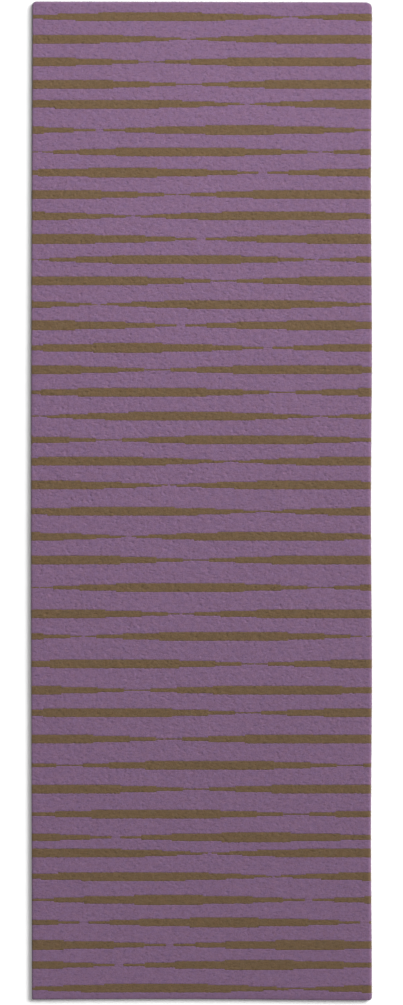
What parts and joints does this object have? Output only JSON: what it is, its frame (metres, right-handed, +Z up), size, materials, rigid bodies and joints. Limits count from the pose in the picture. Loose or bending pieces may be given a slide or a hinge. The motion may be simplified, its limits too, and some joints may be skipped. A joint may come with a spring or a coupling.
{
  "type": "runner rug",
  "caption": "Long narrow hand-tufted wool rug that lies flat on a floor, with a purple cut-pile ground crossed by brown stripes of long thin spindles.",
  "frame": {"origin": "middle of the rug's underside, on the floor", "axes": "+X across the width, +Y along the length to the head end, +Z up through the pile"},
  "size_m": [0.8288, 2.4384, 0.0127],
  "materials": {
    "ground_wool": "matte",
    "stripe_wool": "matte",
    "primary_cotton": "matte",
    "latex": "satin",
    "scrim_cotton": "matte",
    "backing_canvas": "matte",
    "tape_cotton": "matte",
    "sewing_thread": "matte"
  },
  "bodies": {
    "root": {"ground_pile": "ground_wool", "stripe_01": "stripe_wool", "stripe_02": "stripe_wool", "stripe_03": "stripe_wool", "stripe_04": "stripe_wool", "stripe_05": "stripe_wool", "stripe_06": "stripe_wool", "stripe_07": "stripe_wool", "stripe_08": "stripe_wool", "stripe_09": "stripe_wool", "stripe_10": "stripe_wool", "stripe_11": "stripe_wool", "stripe_12": "stripe_wool", "stripe_13": "stripe_wool", "stripe_14": "stripe_wool", "stripe_15": "stripe_wool", "stripe_16": "stripe_wool", "stripe_17": "stripe_wool", "stripe_18": "stripe_wool", "stripe_19": "stripe_wool", "stripe_20": "stripe_wool", "stripe_21": "stripe_wool", "stripe_22": "stripe_wool", "stripe_23": "stripe_wool", "stripe_24": "stripe_wool", "stripe_25": "stripe_wool", "stripe_26": "stripe_wool", "stripe_27": "stripe_wool", "stripe_28": "stripe_wool", "stripe_29": "stripe_wool", "stripe_30": "stripe_wool", "stripe_31": "stripe_wool", "stripe_32": "stripe_wool", "stripe_33": "stripe_wool", "stripe_34": "stripe_wool", "stripe_35": "stripe_wool", "stripe_36": "stripe_wool", "stripe_37": "stripe_wool", "stripe_38": "stripe_wool", "stripe_39": "stripe_wool", "stripe_40": "stripe_wool", "stripe_41": "stripe_wool", "stripe_42": "stripe_wool", "stripe_43": "stripe_wool", "primary_cloth": "primary_cotton", "latex_precoat": "latex", "scrim_mesh": "scrim_cotton", "latex_laminate": "latex", "backing_cloth": "backing_canvas", "binding_tape_left": "tape_cotton", "binding_tape_right": "tape_cotton", "binding_tape_head": "tape_cotton", "binding_tape_foot": "tape_cotton", "tape_stitches_left": "sewing_thread", "tape_stitches_right": "sewing_thread", "tape_stitches_head": "sewing_thread", "tape_stitches_foot": "sewing_thread"}
  },
  "joints": []
}
